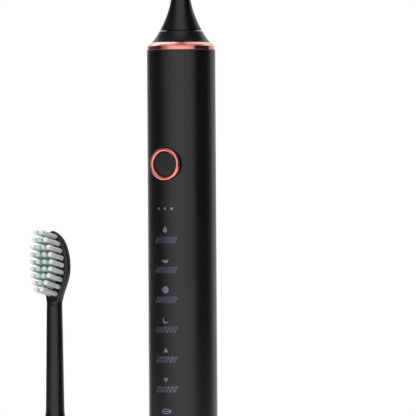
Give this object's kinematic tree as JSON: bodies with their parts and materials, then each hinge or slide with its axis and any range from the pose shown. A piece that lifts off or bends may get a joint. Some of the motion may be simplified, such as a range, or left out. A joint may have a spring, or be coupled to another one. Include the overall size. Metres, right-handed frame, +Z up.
{
  "type": "electric toothbrush on charging stand",
  "caption": "Slim cylindrical electric toothbrush with metal trim ring, round button and mode windows, upright in the cup of an oblong charging stand, a spare brush head on a post beside it.",
  "frame": {"origin": "centre of the stand's underside, on the surface it stands on", "axes": "+Z up along the handle, -Y towards the front that the bristles and the power button face, +X along the stand towards the handle"},
  "size_m": [0.107, 0.048, 0.2639],
  "materials": {
    "shell_black": "matt, soft-touch",
    "button_black": "matt",
    "rose_gold": "polished, anodised",
    "window_grey": "translucent, flush",
    "head_black": "satin",
    "bristle_white": "nylon filament",
    "bristle_mint": "nylon filament",
    "stand_black": "matt",
    "plate_black": "fine spark texture",
    "rubber_grey": "matt",
    "seal_red": "greased silicone",
    "steel": "zinc plated",
    "shaft_steel": "ground",
    "nickel": "nickel plated",
    "bronze": "sintered bronze",
    "copper": "enamelled copper winding",
    "core_grey": "laminated silicon steel",
    "ferrite": "sintered ferrite",
    "board_green": "solder mask",
    "chip_black": "moulded package",
    "led_yellow": "phosphor under clear resin",
    "chassis_white": "moulded",
    "bobbin_cream": "moulded",
    "cell_wrap": "heat-shrink wrap on a metal can",
    "lead_red": "insulated wire"
  },
  "bodies": {
    "charger": {"charger_cover": "stand_black", "charger_plate": "plate_black", "plate_seal": "rubber_grey", "foot_pad": "rubber_grey", "plate_screws": "steel", "head_posts": "stand_black", "transmit_bobbin": "bobbin_cream", "transmit_coil": "copper", "ferrite_rod": "ferrite", "coil_leads": "lead_red", "charger_board": "board_green", "charger_chips": "chip_black", "charger_board_screws": "steel", "usb_socket": "steel", "usb_tongue": "plate_black"},
    "handle": {"handle_housing": "shell_black", "bottom_cap": "shell_black", "cap_seal": "seal_red", "receive_coil": "copper", "coil_shield": "ferrite", "wire_leads": "lead_red", "chassis": "chassis_white", "battery_cell": "cell_wrap", "battery_tabs": "nickel", "main_board": "board_green", "board_chips": "chip_black", "mode_leds": "led_yellow", "light_guide": "window_grey", "main_board_screws": "steel", "switch_body": "chassis_white", "button_seal": "rubber_grey", "button_ring": "rose_gold", "trim_ring": "rose_gold", "shoulder_collar": "shell_black", "collar_seal": "seal_red", "shaft_seal": "rubber_grey", "motor_can": "steel", "motor_front_cap": "steel", "motor_rear_cap": "steel", "motor_bearings": "bronze", "stator_core": "core_grey", "motor_coils": "copper", "motor_dampers": "rubber_grey"},
    "button": {"power_button": "button_black"},
    "plunger": {"switch_plunger": "chip_black"},
    "drive": {"drive_shaft": "shaft_steel", "rotor_core": "core_grey", "rotor_magnets": "nickel"},
    "brush_head": {"head_stem": "head_black", "head_paddle": "head_black", "head_outer_tufts": "bristle_white", "head_inner_tufts": "bristle_mint", "head_anchors": "bronze", "head_clip": "chassis_white"},
    "spare_head": {"spare_stem": "head_black", "spare_paddle": "head_black", "spare_outer_tufts": "bristle_white", "spare_inner_tufts": "bristle_mint", "spare_anchors": "bronze", "spare_clip": "chassis_white"}
  },
  "joints": [
    {"name": "handle_lift", "type": "slide", "parent": "charger", "child": "handle", "axis": [0, 0, 1], "range_m": [0, 0.03]},
    {"name": "button_press", "type": "slide", "parent": "handle", "child": "button", "axis": [0, 1, 0], "range_m": [0, 0.0004], "stiffness_N_per_m": 3000, "springref_m": -0.0002},
    {"name": "switch_press", "type": "slide", "parent": "handle", "child": "plunger", "axis": [0, 1, 0], "range_m": [0, 0.0004]},
    {"name": "drive_swing", "type": "hinge", "parent": "handle", "child": "drive", "pos_m": [0.0295, 0, 0.15], "axis": [0, 0, 1], "range_deg": [-6, 6], "stiffness_Nm_per_rad": 0.05},
    {"name": "head_pull", "type": "slide", "parent": "drive", "child": "brush_head", "axis": [0, 0, 1], "range_m": [0, 0.022]},
    {"name": "spare_lift", "type": "slide", "parent": "charger", "child": "spare_head", "axis": [0, 0, 1], "range_m": [0, 0.03]}
  ],
  "couplings": [
    {"joint": "switch_press", "follows": "button_press", "ratio": 1}
  ]
}
